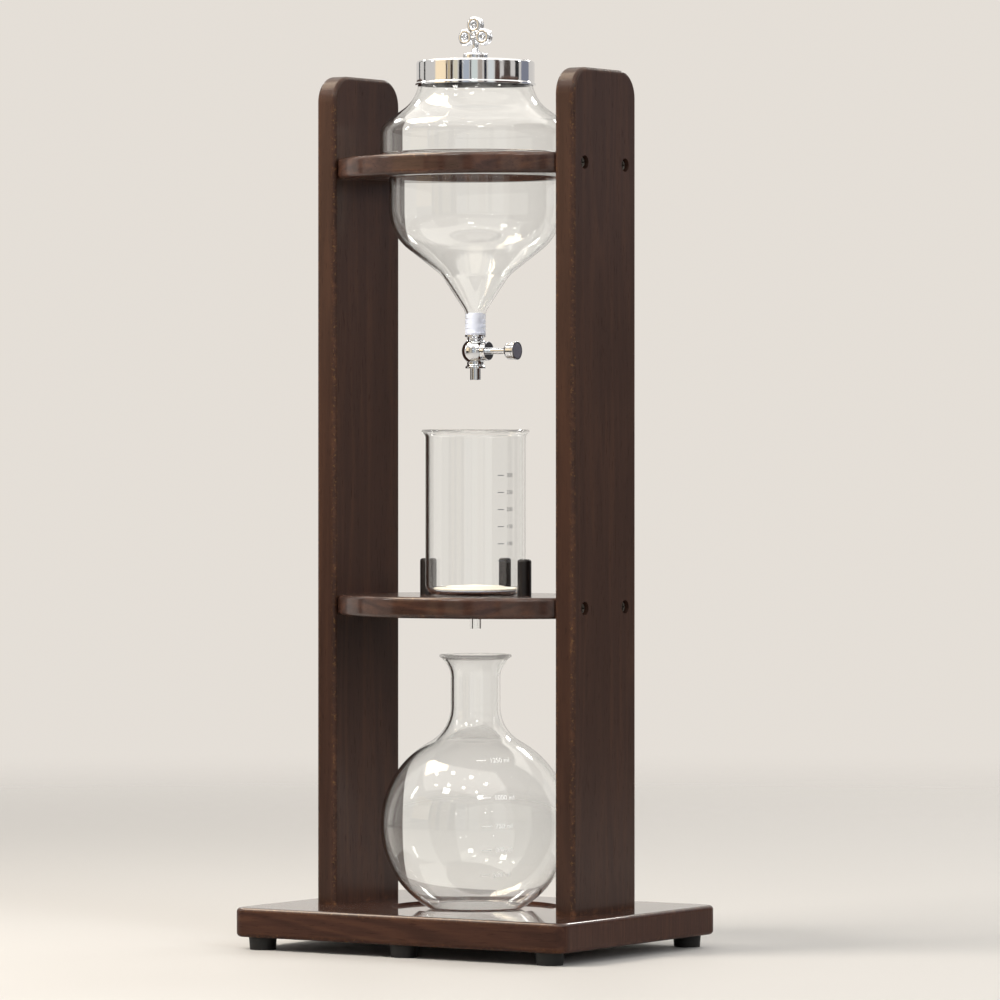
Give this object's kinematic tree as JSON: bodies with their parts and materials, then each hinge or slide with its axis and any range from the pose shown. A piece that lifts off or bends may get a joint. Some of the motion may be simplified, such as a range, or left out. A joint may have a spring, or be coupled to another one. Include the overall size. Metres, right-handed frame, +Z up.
{
  "type": "cold drip coffee tower",
  "caption": "Wooden tower with a glass water tank and needle valve over a glass coffee chamber and a round flask on the base.",
  "frame": {"origin": "middle of the footprint, on the surface that the feet stand on", "axes": "+X from the left upright to the right one, -Y towards the open front, +Z up"},
  "size_m": [0.278, 0.21, 0.6661],
  "materials": {
    "walnut": "dark stained and satin lacquered",
    "walnut_base": "dark stained and satin lacquered",
    "clear_glass": "clear borosilicate, polished",
    "polished_chrome": "mirror polished",
    "black_rubber": "matte moulded",
    "black_plastic": "satin moulded",
    "white_silicone": "translucent satin",
    "white_ceramic": "matte unglazed",
    "white_ptfe": "waxy matte",
    "screw_steel": "zinc plated"
  },
  "bodies": {
    "frame": {"base_board": "walnut_base", "left_upright": "walnut", "right_upright": "walnut", "tank_shelf": "walnut", "chamber_shelf": "walnut", "foot_front_left": "black_rubber", "foot_front_middle": "black_rubber", "foot_front_right": "black_rubber", "foot_back_left": "black_rubber", "foot_back_middle": "black_rubber", "foot_back_right": "black_rubber", "foot_screws": "screw_steel", "base_screws": "screw_steel", "left_shelf_screws": "screw_steel", "right_shelf_screws": "screw_steel", "post_left": "black_plastic", "post_back": "black_plastic", "post_right": "black_plastic"},
    "tank": {"water_tank": "clear_glass", "outlet_bush": "white_silicone", "valve_body": "polished_chrome", "gland_nut": "polished_chrome", "packing_ring": "white_ptfe", "nozzle_nut": "polished_chrome", "outlet_nozzle": "polished_chrome"},
    "stem": {"needle_stem": "polished_chrome"},
    "knob": {"valve_knob": "polished_chrome"},
    "lid": {"lid_cap": "polished_chrome", "lid_gasket": "white_silicone", "lid_collar": "polished_chrome", "lid_ornament": "polished_chrome", "lid_nut": "screw_steel"},
    "chamber": {"coffee_chamber": "clear_glass"},
    "filter": {"filter_disc": "white_ceramic", "filter_gasket": "white_silicone"},
    "flask": {"flask": "clear_glass"}
  },
  "joints": [
    {"name": "tank_lift", "type": "slide", "parent": "frame", "child": "tank", "axis": [0, 0, 1], "range_m": [0, 0.17]},
    {"name": "lid_lift", "type": "slide", "parent": "tank", "child": "lid", "axis": [0, 0, 1], "range_m": [0, 0.06]},
    {"name": "stem_travel", "type": "slide", "parent": "tank", "child": "stem", "axis": [1, 0, 0], "range_m": [0, 0.00193]},
    {"name": "knob_turn", "type": "hinge", "parent": "stem", "child": "knob", "pos_m": [0.03, 0, 0.42672], "axis": [1, 0, 0], "range_deg": [0, 990]},
    {"name": "chamber_lift", "type": "slide", "parent": "frame", "child": "chamber", "axis": [0, 0, 1], "range_m": [0, 0.03]},
    {"name": "filter_lift", "type": "slide", "parent": "chamber", "child": "filter", "axis": [0, 0, 1], "range_m": [0, 0.1]},
    {"name": "flask_out", "type": "slide", "parent": "frame", "child": "flask", "axis": [0, -0.9889, 0.1483], "range_m": [0, 0.2]}
  ],
  "couplings": [
    {"joint": "stem_travel", "follows": "knob_turn", "m_per_rad": 0.00011141}
  ]
}
